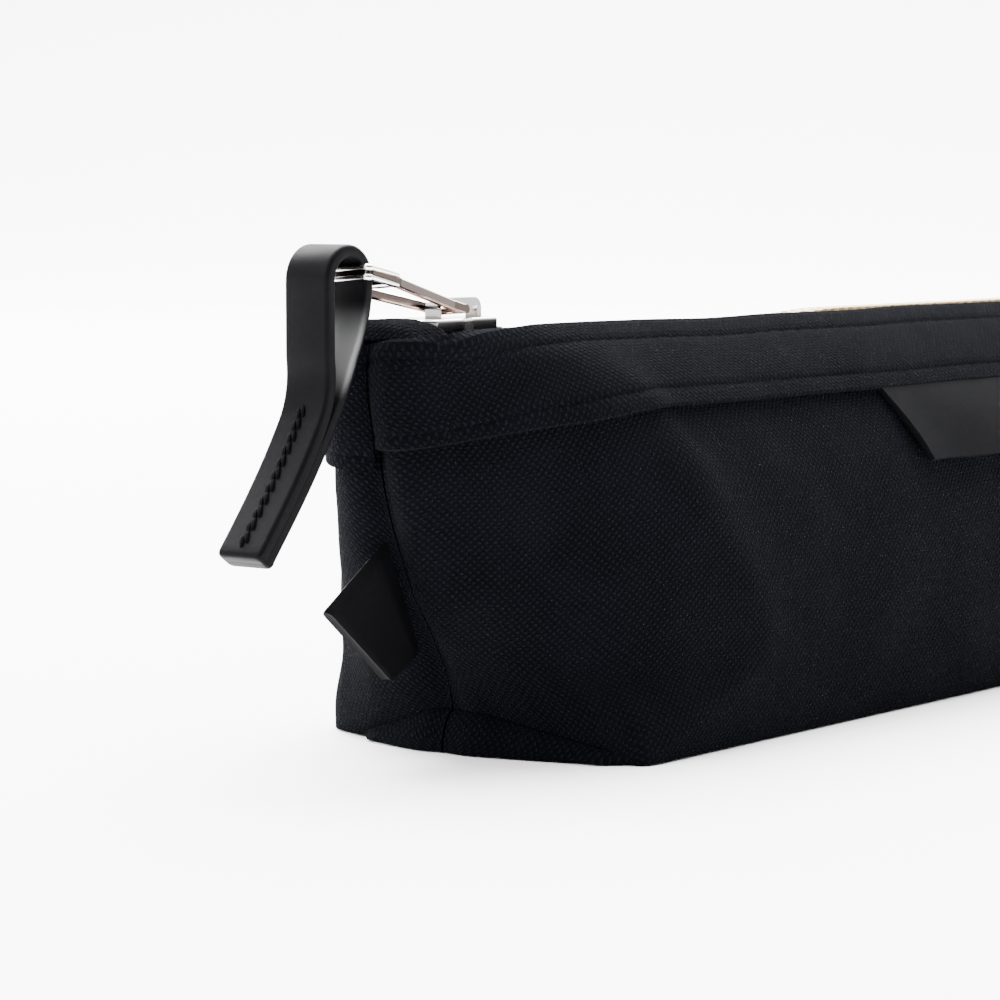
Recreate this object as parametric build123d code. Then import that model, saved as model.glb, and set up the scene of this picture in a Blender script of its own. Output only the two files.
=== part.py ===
"""Zipped canvas shaving kit bag: boxed pouch, metal zip, nickel ladder pull and leather strap.

Millimetres. +X runs along the zip from its closed end, +Y to the back, +Z up.
The origin is the middle of the flat base, on the surface the bag stands on.
"""
from build123d import *
from math import cos, pi, radians, sin, sqrt
import os

# Bag body
BASE_HALF_LENGTH = 112.0
MOUTH_HALF_LENGTH = 138.5
BAG_HEIGHT = 72.0
BASE_HALF_WIDTH = 34.0
BELLY_HALF_WIDTH = 36.0
BELLY_LEVEL = 0.25            # share of the height where the bag is widest
MOUTH_HALF_WIDTH = 12.5
BASE_EDGE_RADIUS = 3.0
SHOULDER_LEVEL = 0.8          # share of the height near the band's lower edge
FLARE_TOP = 0.75              # share of the height above which the ends stand upright
FOOT_CORNER = (10.0, 0.3)     # how far a corner runs along X, and its share of the half width
BELLY_CORNER = (46.0, 0.86)
SHOULDER_CORNER = (42.0, 0.86)
MOUTH_CORNER = (16.0, 0.84)
PANEL_THICKNESS = 1.2
LINING_THICKNESS = 0.6
BAND_THICKNESS = 1.2
CLOTH_GAP = 0.3               # between two layers of cloth
SEAM_GAP = 0.15               # each panel's edge to the plane of the seam
BAND_DEPTH_MIDDLE = 14.3      # drop of the band's lower edge below the top
BAND_DEPTH_END = 20.5
LINING_TOP_DROP = 2.8
BAND_EDGE_TURN = 0.86         # share of the half length where the lower edge turns down
BAND_EDGE_SAG = 1.2
BAND_OVERRUN = 3.0            # drawn past the end of the bag, so the cut is clean

# Zip
TAPE_THICKNESS = 0.7
TAPE_CENTRE_DROP = 1.2        # tape's middle plane below the top of the bag
TAPE_WALL_GAP = 0.6
TAPE_EDGE = 1.6               # from the zip's centre line to the tape's inner edge
TOOTH_PITCH = 3.2
TOOTH_WIDTH = 1.4             # along the zip
TOOTH_HEIGHT = 2.8
TOOTH_ROOT = 3.1              # from the centre line to the back of a tooth
TOOTH_REACH = 1.1             # past the centre line
TOOTH_NECK = 0.25             # narrowing of the tooth between head and root, each side
TOOTH_NECK_START = 1.1        # from the centre line
TOOTH_FOOT = 0.8              # full-width stretch at the root
TAPE_SLOT_GAP = 0.05
CLOSED_END_MARGIN = 4.6       # mouth's end to the top stops
FAR_END_MARGIN = 9.5          # mouth's end to the bottom stop
STOP_LENGTH = 1.8
STOP_HEIGHT = 3.4
STOP_SLOT_DEPTH = 2.0
STOP_GRIP = 1.0               # how much wider a stop is than the tape's cord
STOP_CORNER = 0.4
END_TAB_RISE = 2.0
END_TAB_GAP = 0.4             # tab to the wall and to the stop
END_TAB_HALF_WIDTH = 5.0
END_TAB_CORNER = 0.9
END_TAB_EDGE = 0.6

# Slider, measured from its nose at the closed end
SLIDER_LENGTH = 20.0
SLIDER_SHOULDER = 9.0         # nose to the start of the taper
SLIDER_TAPER = 4.0
SLIDER_NOSE_HALF_WIDTH = 5.6
SLIDER_NOSE_CORNER = 1.8
SLIDER_TAIL_HALF_WIDTH = 4.4
SLIDER_PLATE = 1.3
SLIDER_CLEARANCE = 0.3
SLIDER_FLANGE = 0.8
SLIDER_TAPE_GAP = 0.4
SLIDER_STOP_GAP = 0.5
SLIDER_TOOTH_GAP = 0.4
SLIDER_MOUTH_CUT = 4.0        # length of the openings at its nose and tail
SLIDER_CORNER = 0.7
SLIDER_EDGE = 0.5
POST_LENGTH = 4.6
POST_HALF_WIDTH = 1.3
POST_CORNER = 1.0
POST_SETBACK = 0.2            # behind the slider's nose
POST_ROOT = 0.8               # how far the post runs into each plate
BRIDGE_LENGTH = 12.0
BRIDGE_WIDTH = 2.6
BRIDGE_RISE = 3.3
BRIDGE_BAR = 1.1
BRIDGE_CORNER = 1.9
BRIDGE_INSET = 0.8            # slider's tail to the near foot of the bridge
PIVOT_FROM_TAIL = 7.4         # slider's tail to the pull's pivot at rest

# Pull frame, drawn flat with its pivot bar on the origin and its outer bar at -X
PULL_LENGTH = 29.5            # pivot to the middle of the outer bar
PULL_WINDOW = 5.2             # opening that holds the strap
PULL_WIDTH = 13.0
PULL_LEG = 1.4
PULL_HEAVY_LEG = 1.7
PULL_THICKNESS = 1.6
PULL_BAR = 1.7
PULL_EYE_HALF = 2.0           # half width inside the narrow pivot end
PULL_EYE_LENGTH = 3.4
PULL_EYE_BAR = 1.5
PULL_EYE_GAP = 0.45           # pivot bar to the slider's top plate
PULL_RIDGE = 0.3              # how far the heavy leg's ridge stands out
PULL_RIDGE_SHARE = 0.42       # its share of the frame's thickness
PULL_CORNER = 0.9
PULL_CHAMFER = 0.2
PULL_TILT = 12.5              # above flat at rest
PULL_ROLL = -5.0              # it lies a little rolled in the bridge

# Strap, folded over the outer bar of the pull; its places are from that bar's middle
STRAP_WIDTH = 9.2
STRAP_THICKNESS = 1.65
STRAP_LOOP_RADIUS = 5.9       # outside of the loop
STRAP_LOOP_BACK = 2.8         # loop's middle behind the bar
STRAP_LOOP_RISE = 5.1         # outer top of the loop above the bar
STRAP_DROP = 12.0             # straight stretch of the outer layer below the loop
STRAP_BEND_RADIUS = 18.0
STRAP_TAIL_LEAN = 34.0        # degrees from hanging straight down
STRAP_TAIL_LENGTH = 24.7
STRAP_MEET = 18.6             # bar to the point where the layers meet, below it
STRAP_TIP_GAP = 0.2           # that point to the outer layer's inside
STRAP_TIP_HANDLE = (3.8, 5.0)  # how the inner curve comes away from that point
STITCH_COUNT = 10
STITCH_PITCH = 2.35
STITCH_LENGTH = 2.1
STITCH_DIAMETER = 0.8
STITCH_SLANT = 14.0
STITCH_END_MARGIN = 2.6
STITCH_GAP = 0.02

# Side tab, folded leather held in the left seam
TAB_TOP = 37.5
TAB_BOTTOM = 17.5
TAB_TIP_REACH = 16.0
TAB_TIP_LEVEL = 27.2
TAB_LOWER_REACH = 10.5
TAB_LOWER_LEVEL = 13.9
TAB_THICKNESS = 3.0
TAB_CORNER = 0.8
TAB_CHAMFER = 0.6
TAB_SEAM_GAP = 0.6
TAB_BULGE = 0.6               # room for the curve of the seam behind the tab's straight root

# Leather label under the front band
LABEL_LENGTH = 60.0
LABEL_DROP = 13.0
LABEL_SLANT = 9.0
LABEL_THICKNESS = 1.4
LABEL_TUCK = 0.4              # its top stops this far under the band's lower edge
LABEL_STANDOFF = 0.35
LABEL_CORNER = 1.0

# Derived values
TAPE_PLANE = BAG_HEIGHT - TAPE_CENTRE_DROP
BAND_OFFSET = CLOTH_GAP + BAND_THICKNESS
SLOT_HEIGHT = TAPE_THICKNESS + 2 * TAPE_SLOT_GAP
LINING_OFFSET = PANEL_THICKNESS + CLOTH_GAP
STOP_X = -MOUTH_HALF_LENGTH + CLOSED_END_MARGIN
FAR_STOP_X = MOUTH_HALF_LENGTH - FAR_END_MARGIN
SLIDER_NOSE_X = STOP_X + STOP_LENGTH + SLIDER_STOP_GAP
SLIDER_TAIL_X = SLIDER_NOSE_X + SLIDER_LENGTH
SLIDER_CHANNEL = TOOTH_HEIGHT / 2 + SLIDER_CLEARANCE
SLIDER_TOP = TAPE_PLANE + SLIDER_CHANNEL + SLIDER_PLATE
FIRST_TOOTH_X = SLIDER_NOSE_X + POST_LENGTH + TOOTH_WIDTH
PIVOT_X = SLIDER_TAIL_X - PIVOT_FROM_TAIL
PIVOT_Z = SLIDER_TOP + PULL_EYE_GAP + PULL_EYE_BAR / 2
ARC_PULL = 0.55               # handle length that makes a cubic curve a quarter ellipse
EDGE_LEVELS = (0.0, 0.15, 0.5, 1.0)    # sections up the rounded lower edge
WALL_LEVELS = (0.15, 0.32, 0.5, 0.68, 0.82, 0.92)
LEAST_STEP = 2.0              # least height between two sections
CUT_REACH = 60.0              # well past the bag's width


def half_length(level):
    """Half length of the outline: the ends flare out from the base, then stand upright."""
    flare = sin(pi / 2 * min(1.0, max(0.0, level) / FLARE_TOP))
    return BASE_HALF_LENGTH + (MOUTH_HALF_LENGTH - BASE_HALF_LENGTH) * flare


def half_width(level):
    """Half width of the outline: out to the belly, then in to the mouth."""
    if level <= BELLY_LEVEL:
        return BASE_HALF_WIDTH + (BELLY_HALF_WIDTH - BASE_HALF_WIDTH) * sin(pi / 2 * level / BELLY_LEVEL)
    rise = (level - BELLY_LEVEL) / (1 - BELLY_LEVEL)
    return BELLY_HALF_WIDTH - (BELLY_HALF_WIDTH - MOUTH_HALF_WIDTH) * rise**3


def corner_reach(level):
    """How far a corner of the outline runs along X and along Y."""
    if level <= BELLY_LEVEL:
        share = level / BELLY_LEVEL
        start, end = FOOT_CORNER, BELLY_CORNER
    elif level <= SHOULDER_LEVEL:
        share = (level - BELLY_LEVEL) / (SHOULDER_LEVEL - BELLY_LEVEL)
        start, end = BELLY_CORNER, SHOULDER_CORNER
    else:
        share = (min(1.0, level) - SHOULDER_LEVEL) / (1 - SHOULDER_LEVEL)
        start, end = SHOULDER_CORNER, MOUTH_CORNER
    along, part = [low + (high - low) * share for low, high in zip(start, end)]
    return along, part * half_width(level)


def half_outline(height, inset, side):
    """Half outline at a height, moved in by inset; side is -1 for the front, 1 for the back."""
    level = max(0.0, height) / BAG_HEIGHT
    end = half_length(level) - inset
    front = half_width(level) - inset
    along, across = [reach - inset for reach in corner_reach(level)]
    pull = 1 - ARC_PULL
    seam = side * SEAM_GAP
    left = Line((-end, seam), (-end, side * (front - across)))
    left_corner = Bezier(
        (-end, side * (front - across)),
        (-end, side * (front - across * pull)),
        (-end + along * pull, side * front),
        (-end + along, side * front),
    )
    middle = Line((-end + along, side * front), (end - along, side * front))
    right_corner = Bezier(
        (end - along, side * front),
        (end - along * pull, side * front),
        (end, side * (front - across * pull)),
        (end, side * (front - across)),
    )
    right = Line((end, side * (front - across)), (end, seam))
    return left, left_corner, middle, right_corner, right


def rounding(height, bottom):
    """Inset of the rounded lower edge at a height above its bottom."""
    rest = max(0.0, BASE_EDGE_RADIUS - (height - bottom))
    return BASE_EDGE_RADIUS - sqrt(BASE_EDGE_RADIUS**2 - rest**2)


def solid_section(height, inset, side):
    """Half of the bag's plan at a height, closed along the seam plane."""
    with BuildSketch(Plane.XY.offset(height)) as sketch:
        with BuildLine():
            edges = half_outline(height, inset, side)
            Line(edges[0] @ 0, edges[-1] @ 1)
        make_face()
    return sketch.sketch.faces()[0]


def wall_section(height, outer_inset, inner_inset, side):
    """Half ring of cloth at a height, between two insets of the outline."""
    with BuildSketch(Plane.XY.offset(height)) as sketch:
        with BuildLine():
            outer = half_outline(height, outer_inset, side)
            inner = half_outline(height, inner_inset, side)
            Line(outer[0] @ 0, inner[0] @ 0)
            Line(outer[-1] @ 1, inner[-1] @ 1)
        make_face()
    return sketch.sketch.faces()[0]


def shell(side, inset, thickness, bottom, top):
    """Half of a thin bag with its floor: walls between two insets, open at the top."""
    floor_top = bottom + thickness
    floor_heights = [bottom, bottom + thickness / 2, floor_top]
    floor = loft([solid_section(h, inset + rounding(h, bottom), side) for h in floor_heights], ruled=True)
    edge_top = floor_top + BASE_EDGE_RADIUS
    heights = [floor_top + share * BASE_EDGE_RADIUS for share in EDGE_LEVELS]
    heights += [share * BAG_HEIGHT for share in WALL_LEVELS if share * BAG_HEIGHT > edge_top + LEAST_STEP]
    heights = [height for height in heights if height < top - LEAST_STEP] + [top]
    sections = []
    for height in heights:
        outer = inset + rounding(height, bottom)
        inner = inset + thickness + rounding(height, floor_top)
        sections.append(wall_section(height, outer, inner, side))
    return floor + loft(sections, ruled=True)


def wall(side, inset, thickness, bottom, top):
    """Half ring of cloth on the upright part of the bag."""
    between = [share * BAG_HEIGHT for share in WALL_LEVELS if bottom < share * BAG_HEIGHT < top]
    heights = [bottom, *between, top]
    return loft([wall_section(height, inset, inset + thickness, side) for height in heights], ruled=True)


def canvas_panel(side):
    """Outer canvas panel with its half of the boxed bottom."""
    return shell(side, 0, PANEL_THICKNESS, 0, BAG_HEIGHT)


def lining(side):
    """Lining just inside a canvas panel, open at the top."""
    return shell(side, LINING_OFFSET, LINING_THICKNESS, LINING_OFFSET, BAG_HEIGHT - LINING_TOP_DROP)


def band(side):
    """Folded canvas band round the mouth; its lower edge dips at the two ends."""
    reach = MOUTH_HALF_LENGTH + BAND_OVERRUN
    turn = BAND_EDGE_TURN * reach
    low = BAG_HEIGHT - BAND_DEPTH_END
    cut_low = low - BAND_OVERRUN
    middle = BAG_HEIGHT - BAND_DEPTH_MIDDLE
    ring = wall(side, -BAND_OFFSET, BAND_THICKNESS, low - BAND_OVERRUN / 2, BAG_HEIGHT)
    with BuildSketch(Plane.XZ) as below:
        with BuildLine():
            edge = Spline(
                (-reach, low),
                (-turn, middle - BAND_EDGE_SAG),
                (0, middle),
                (turn, middle - BAND_EDGE_SAG),
                (reach, low),
            )
            Polyline(edge @ 1, (reach, cut_low), (-reach, cut_low), edge @ 0)
        make_face()
    cutter = extrude(below.sketch, amount=CUT_REACH, both=True)
    return ring - cutter


def zip_tape(side):
    """One woven tape, from the mouth's edge to the row of teeth."""
    plan = solid_section(TAPE_PLANE + TAPE_THICKNESS / 2, PANEL_THICKNESS + TAPE_WALL_GAP, side)
    tape = extrude(plan, amount=TAPE_THICKNESS, dir=(0, 0, -1))
    tape -= Pos(0, 0, TAPE_PLANE) * Box(4 * MOUTH_HALF_LENGTH, 2 * TAPE_EDGE, 3 * TAPE_THICKNESS)
    return tape


def tooth():
    """One metal tooth of the back row, clamped over the tape's edge."""
    half = TOOTH_WIDTH / 2
    neck = half - TOOTH_NECK
    with BuildSketch() as plan:
        Polygon(
            (-half, -TOOTH_REACH),
            (half, -TOOTH_REACH),
            (half, 0.0),
            (neck, TOOTH_NECK_START),
            (half, TOOTH_ROOT - TOOTH_FOOT),
            (half, TOOTH_ROOT),
            (-half, TOOTH_ROOT),
            (-half, TOOTH_ROOT - TOOTH_FOOT),
            (-neck, TOOTH_NECK_START),
            (-half, 0.0),
            align=None,
        )
    body = extrude(plan.sketch, amount=TOOTH_HEIGHT / 2, both=True)
    slot = Box(2 * TOOTH_WIDTH, TOOTH_ROOT, SLOT_HEIGHT, align=(Align.CENTER, Align.MIN, Align.CENTER))
    return body - Pos(0, TAPE_EDGE - TAPE_SLOT_GAP, 0) * slot


def teeth_row(side):
    """Row of teeth from the slider's post to the far stop; the two rows are half a pitch apart."""
    start = FIRST_TOOTH_X + (TOOTH_PITCH / 2 if side > 0 else 0)
    count = int((FAR_STOP_X - STOP_LENGTH - TOOTH_WIDTH - start) / TOOTH_PITCH) + 1
    one = tooth() if side > 0 else Rot(0, 0, 180) * tooth()
    return Compound([Pos(start + index * TOOTH_PITCH, 0, TAPE_PLANE) * one for index in range(count)])


def top_stops():
    """Two small clamps that hold the slider at the closed end, one on each tape."""
    clamps = []
    middle = (TAPE_EDGE + TOOTH_ROOT) / 2
    depth = TOOTH_ROOT - TAPE_EDGE + STOP_GRIP
    for side in (-1, 1):
        clamp = Box(STOP_LENGTH, depth, STOP_HEIGHT)
        clamp = fillet(clamp.edges().filter_by(Axis.Z), STOP_CORNER)
        slot = Pos(0, side * (depth - STOP_SLOT_DEPTH), 0) * Box(2 * STOP_LENGTH, depth, SLOT_HEIGHT)
        clamps.append(Pos(STOP_X + STOP_LENGTH / 2, side * middle, TAPE_PLANE) * (clamp - slot))
    return Compound(clamps)


def bottom_stop():
    """One clamp across both tapes at the far end of the zip."""
    clamp = Box(STOP_LENGTH, 2 * TOOTH_ROOT, STOP_HEIGHT)
    clamp = fillet(clamp.edges().filter_by(Axis.Z), STOP_CORNER)
    slot = Box(2 * STOP_LENGTH, TOOTH_ROOT, SLOT_HEIGHT, align=(Align.CENTER, Align.MIN, Align.CENTER))
    slot = Pos(0, TAPE_EDGE - TAPE_SLOT_GAP, 0) * slot
    clamp = clamp - slot - Rot(0, 0, 180) * slot
    return Pos(FAR_STOP_X - STOP_LENGTH / 2, 0, TAPE_PLANE) * clamp


def zip_end_tab(end):
    """Folded scrap of canvas over the end of the zip; end is -1 at the closed end, 1 at the other."""
    wall_x = MOUTH_HALF_LENGTH - LINING_OFFSET - END_TAB_GAP
    stop_x = abs(STOP_X if end < 0 else FAR_STOP_X) + END_TAB_GAP
    on_base = (Align.CENTER, Align.CENTER, Align.MIN)
    tab = Box(wall_x - stop_x, 2 * END_TAB_HALF_WIDTH, END_TAB_RISE, align=on_base)
    tab = fillet(tab.edges().filter_by(Axis.Z), END_TAB_CORNER)
    tab = fillet(tab.edges().group_by(Axis.Z)[-1], END_TAB_EDGE)
    base = TAPE_PLANE + TAPE_THICKNESS / 2 + TAPE_SLOT_GAP
    return Pos(end * (wall_x + stop_x) / 2, 0, base) * tab


def slider_plan(grow):
    """Plan of the slider from its nose: wide at the closed end, narrower at the tail."""
    nose = SLIDER_NOSE_HALF_WIDTH + grow
    tail = SLIDER_TAIL_HALF_WIDTH + grow
    half = [
        (-grow, nose - SLIDER_NOSE_CORNER),
        (SLIDER_NOSE_CORNER, nose),
        (SLIDER_SHOULDER, nose),
        (SLIDER_SHOULDER + SLIDER_TAPER, tail),
        (SLIDER_LENGTH + grow, tail),
    ]
    with BuildSketch() as plan:
        Polygon(*half, *[(x, -y) for x, y in reversed(half)], align=None)
        fillet(plan.vertices(), SLIDER_CORNER)
    return plan.sketch


def slider_body():
    """Two plates joined by the post, with flanges that guide the tapes."""
    outer_half = SLIDER_CHANNEL + SLIDER_PLATE
    block = extrude(slider_plan(0), amount=outer_half, both=True)
    block = fillet(block.edges().group_by(Axis.Z)[-1], SLIDER_EDGE)
    block = fillet(block.edges().group_by(Axis.Z)[0], SLIDER_EDGE)
    channel = extrude(slider_plan(-SLIDER_FLANGE), amount=SLIDER_CHANNEL, both=True)
    tail_width = 2 * (TOOTH_ROOT + SLIDER_TOOTH_GAP)
    nose_width = 2 * (SLIDER_NOSE_HALF_WIDTH - SLIDER_NOSE_CORNER)
    tail_mouth = Box(SLIDER_MOUTH_CUT, tail_width, 2 * SLIDER_CHANNEL)
    nose_mouth = Box(SLIDER_MOUTH_CUT, nose_width, 2 * SLIDER_CHANNEL)
    slit_height = TAPE_THICKNESS + 2 * SLIDER_TAPE_GAP
    slit = Box(3 * SLIDER_LENGTH, 4 * SLIDER_NOSE_HALF_WIDTH, slit_height)
    from_nose = (Align.MIN, Align.CENTER, Align.CENTER)
    post = Box(POST_LENGTH, 2 * POST_HALF_WIDTH, 2 * (SLIDER_CHANNEL + POST_ROOT), align=from_nose)
    post = fillet(post.edges().filter_by(Axis.Z), POST_CORNER)
    shell_body = block - channel - Pos(SLIDER_LENGTH, 0, 0) * tail_mouth - nose_mouth - slit
    return Pos(SLIDER_NOSE_X, 0, TAPE_PLANE) * (shell_body + Pos(POST_SETBACK, 0, 0) * post)


def slider_bridge():
    """Arched bar that carries the pull, seated on the top plate."""
    with BuildSketch(Plane.XZ) as arch:
        with Locations((0, BRIDGE_RISE / 2)):
            Rectangle(BRIDGE_LENGTH, BRIDGE_RISE)
        fillet(arch.vertices().group_by(Axis.Y)[-1], BRIDGE_CORNER)
        with Locations((0, (BRIDGE_RISE - BRIDGE_BAR) / 2)):
            Rectangle(BRIDGE_LENGTH - 2 * BRIDGE_BAR, BRIDGE_RISE - BRIDGE_BAR, mode=Mode.SUBTRACT)
    body = extrude(arch.sketch, amount=BRIDGE_WIDTH / 2, both=True)
    return Pos(SLIDER_TAIL_X - BRIDGE_INSET - BRIDGE_LENGTH / 2, 0, SLIDER_TOP) * body


def mirrored(points):
    """A half outline followed by its mirror image across the X axis."""
    return [*points, *[(x, -y) for x, y in reversed(points)]]


def pull_plan():
    """Flat outline of the ladder pull without its round pivot bar."""
    half = PULL_WIDTH / 2
    eye = PULL_EYE_HALF + PULL_LEG
    outer_end = -PULL_LENGTH - PULL_BAR / 2
    window_start = outer_end + PULL_BAR
    inner_bar = window_start + PULL_WINDOW
    leg_start = inner_bar + PULL_BAR
    step = PULL_HEAVY_LEG - PULL_LEG
    outside = [
        (outer_end, half),
        (leg_start, half),
        (leg_start, half - step),
        (-PULL_EYE_LENGTH, eye),
        (0, eye),
    ]
    opening = [
        (leg_start, half - PULL_HEAVY_LEG),
        (-PULL_EYE_LENGTH, PULL_EYE_HALF),
        (PULL_EYE_BAR, PULL_EYE_HALF),
    ]
    with BuildSketch() as plan:
        Polygon(*mirrored(outside), align=None)
        fillet(plan.vertices().group_by(Axis.X)[0], PULL_CORNER)
        with Locations((window_start + PULL_WINDOW / 2, 0)):
            Rectangle(PULL_WINDOW, PULL_WIDTH - 2 * PULL_HEAVY_LEG, mode=Mode.SUBTRACT)
        Polygon(*mirrored(opening), align=None, mode=Mode.SUBTRACT)
    return plan.sketch


def pull_pose():
    """Where the flat pull stands at rest."""
    return Pos(PIVOT_X, 0, PIVOT_Z) * Rot(0, PULL_TILT, 0) * Rot(PULL_ROLL, 0, 0)


def pull_frame():
    """Cast ladder pull: strap window with heavy ridged legs, thinner legs to the pivot bar."""
    frame = extrude(pull_plan(), amount=PULL_THICKNESS / 2, both=True)
    frame = chamfer(frame.edges().group_by(Axis.Z)[-1], PULL_CHAMFER)
    frame = chamfer(frame.edges().group_by(Axis.Z)[0], PULL_CHAMFER)
    frame += Rot(90, 0, 0) * Cylinder(PULL_EYE_BAR / 2, 2 * (PULL_EYE_HALF + PULL_LEG))
    ridge_length = PULL_WINDOW + PULL_BAR + PULL_RIDGE
    ridge_x = -PULL_LENGTH + ridge_length / 2
    for side in (-1, 1):
        ridge = Box(ridge_length, 2 * PULL_RIDGE, PULL_THICKNESS * PULL_RIDGE_SHARE)
        frame += Pos(ridge_x, side * PULL_WIDTH / 2, 0) * ridge
    return pull_pose() * frame


def bar_centre():
    """Middle of the pull's outer bar, which the strap hangs from."""
    return (pull_pose() * Pos(-PULL_LENGTH, 0, 0)).position


def tail_start():
    """Top of the straight tail on its outer face, from the bar."""
    lean = radians(STRAP_TAIL_LEAN)
    x = -STRAP_LOOP_BACK - STRAP_LOOP_RADIUS - STRAP_BEND_RADIUS * (1 - cos(lean))
    return x, loop_centre_z() - STRAP_DROP - STRAP_BEND_RADIUS * sin(lean)


def loop_centre_z():
    """Height of the loop's round top above the bar."""
    return STRAP_LOOP_RISE - STRAP_LOOP_RADIUS


def strap_outline():
    """Side view of the folded strap round the bar: its outer form less the open loop."""
    lean = radians(STRAP_TAIL_LEAN)
    down = (-sin(lean), -cos(lean))
    across = (cos(lean), -sin(lean))
    double = 2 * STRAP_THICKNESS
    top_z = loop_centre_z()
    middle = -STRAP_LOOP_BACK
    left = middle - STRAP_LOOP_RADIUS
    right = middle + STRAP_LOOP_RADIUS
    start = tail_start()
    end = (start[0] + down[0] * STRAP_TAIL_LENGTH, start[1] + down[1] * STRAP_TAIL_LENGTH)
    end_right = (end[0] + across[0] * double, end[1] + across[1] * double)
    start_right = (start[0] + across[0] * double, start[1] + across[1] * double)
    handle = STRAP_MEET / 2
    inner = STRAP_LOOP_RADIUS - STRAP_THICKNESS
    tip = (left + STRAP_THICKNESS + STRAP_TIP_GAP, -STRAP_MEET)
    with BuildSketch(Plane.XZ) as form:
        with BuildLine():
            Line(end, start)
            TangentArc(start, (left, top_z - STRAP_DROP), tangent=(-down[0], -down[1]))
            Line((left, top_z - STRAP_DROP), (left, top_z))
            ThreePointArc((left, top_z), (middle, top_z + STRAP_LOOP_RADIUS), (right, top_z))
            Bezier(
                (right, top_z),
                (right, top_z - handle),
                (start_right[0] - down[0] * handle, start_right[1] - down[1] * handle),
                start_right,
            )
            Line(start_right, end_right)
            Line(end_right, end)
        make_face()
        with BuildLine():
            Line(tip, (middle - inner, top_z - STRAP_DROP))
            Line((middle - inner, top_z - STRAP_DROP), (middle - inner, top_z))
            ThreePointArc((middle - inner, top_z), (middle, top_z + inner), (middle + inner, top_z))
            Bezier(
                (middle + inner, top_z),
                (middle + inner, top_z - handle),
                (tip[0] + STRAP_TIP_HANDLE[0], tip[1] + STRAP_TIP_HANDLE[1]),
                tip,
            )
        make_face(mode=Mode.SUBTRACT)
    return form.sketch


def pull_strap():
    """Leather strap folded over the bar, its two layers sewn together below."""
    centre = bar_centre()
    return Pos(centre.X, 0, centre.Z) * extrude(strap_outline(), amount=STRAP_WIDTH / 2, both=True)


def strap_stitching():
    """Heavy saddle stitches down the middle of the tail, on both faces."""
    centre = bar_centre()
    start = tail_start()
    one = Cylinder(STITCH_DIAMETER / 2, STITCH_LENGTH)
    one = fillet(one.edges().filter_by(GeomType.CIRCLE), STITCH_DIAMETER / 3)
    stitches = []
    for index in range(STITCH_COUNT):
        along = STRAP_TAIL_LENGTH - STITCH_END_MARGIN - index * STITCH_PITCH
        for face in (-1, 1):
            out = STITCH_DIAMETER / 2 + STITCH_GAP
            depth = -out if face < 0 else 2 * STRAP_THICKNESS + out
            place = Pos(centre.X + start[0], 0, centre.Z + start[1]) * Rot(0, STRAP_TAIL_LEAN, 0)
            stitches.append(place * Pos(depth, 0, -along) * Rot(STITCH_SLANT, 0, 0) * one)
    return Compound(stitches)


def side_tab():
    """Folded leather held in the left seam, standing out like a leaning square."""
    gap = TAB_SEAM_GAP + TAB_BULGE
    root_top = -half_length(TAB_TOP / BAG_HEIGHT) - gap
    root_bottom = -half_length(TAB_BOTTOM / BAG_HEIGHT) - gap
    with BuildSketch(Plane.XZ) as plan:
        Polygon(
            (root_top, TAB_TOP),
            (root_top - TAB_TIP_REACH, TAB_TIP_LEVEL),
            (root_bottom - TAB_LOWER_REACH, TAB_LOWER_LEVEL),
            (root_bottom, TAB_BOTTOM),
            align=None,
        )
        fillet(plan.vertices(), TAB_CORNER)
    leaf = extrude(plan.sketch, amount=TAB_THICKNESS / 2, both=True)
    return chamfer(leaf.edges().filter_by(GeomType.LINE).filter_by(Axis.Y, reverse=True), TAB_CHAMFER)


def label_patch():
    """Leather label with slanting ends, hanging from under the front band."""
    top = BAG_HEIGHT - BAND_DEPTH_MIDDLE - LABEL_TUCK
    half = LABEL_LENGTH / 2
    with BuildSketch(Plane.XZ) as plan:
        Polygon(
            (-half, top),
            (half, top),
            (half - LABEL_SLANT, top - LABEL_DROP),
            (-half + LABEL_SLANT, top - LABEL_DROP),
            align=None,
        )
        fillet(plan.vertices().group_by(Axis.Y)[0], LABEL_CORNER)
    slab = extrude(plan.sketch, amount=CUT_REACH)
    low = top - LABEL_DROP - LEAST_STEP
    skin = wall(-1, -LABEL_STANDOFF - LABEL_THICKNESS, LABEL_THICKNESS, low, top + LEAST_STEP)
    return slab & skin


os.makedirs("parts", exist_ok=True)
pieces = {
    "front_panel": canvas_panel(-1),
    "back_panel": canvas_panel(1),
    "front_band": band(-1),
    "back_band": band(1),
    "front_lining": lining(-1),
    "back_lining": lining(1),
    "zip_tape_front": zip_tape(-1),
    "zip_tape_back": zip_tape(1),
    "zip_teeth_front": teeth_row(-1),
    "zip_teeth_back": teeth_row(1),
    "zip_top_stops": top_stops(),
    "zip_bottom_stop": bottom_stop(),
    "zip_end_tab_left": zip_end_tab(-1),
    "zip_end_tab_right": zip_end_tab(1),
    "slider_body": slider_body(),
    "slider_bridge": slider_bridge(),
    "pull_frame": pull_frame(),
    "pull_strap": pull_strap(),
    "strap_stitching": strap_stitching(),
    "side_tab": side_tab(),
    "label_patch": label_patch(),
}
for name, piece in pieces.items():
    export_step(piece, f"parts/{name}.step")
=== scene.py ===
import math

import bmesh
import bpy
from mathutils import Matrix, Vector, noise


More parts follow.
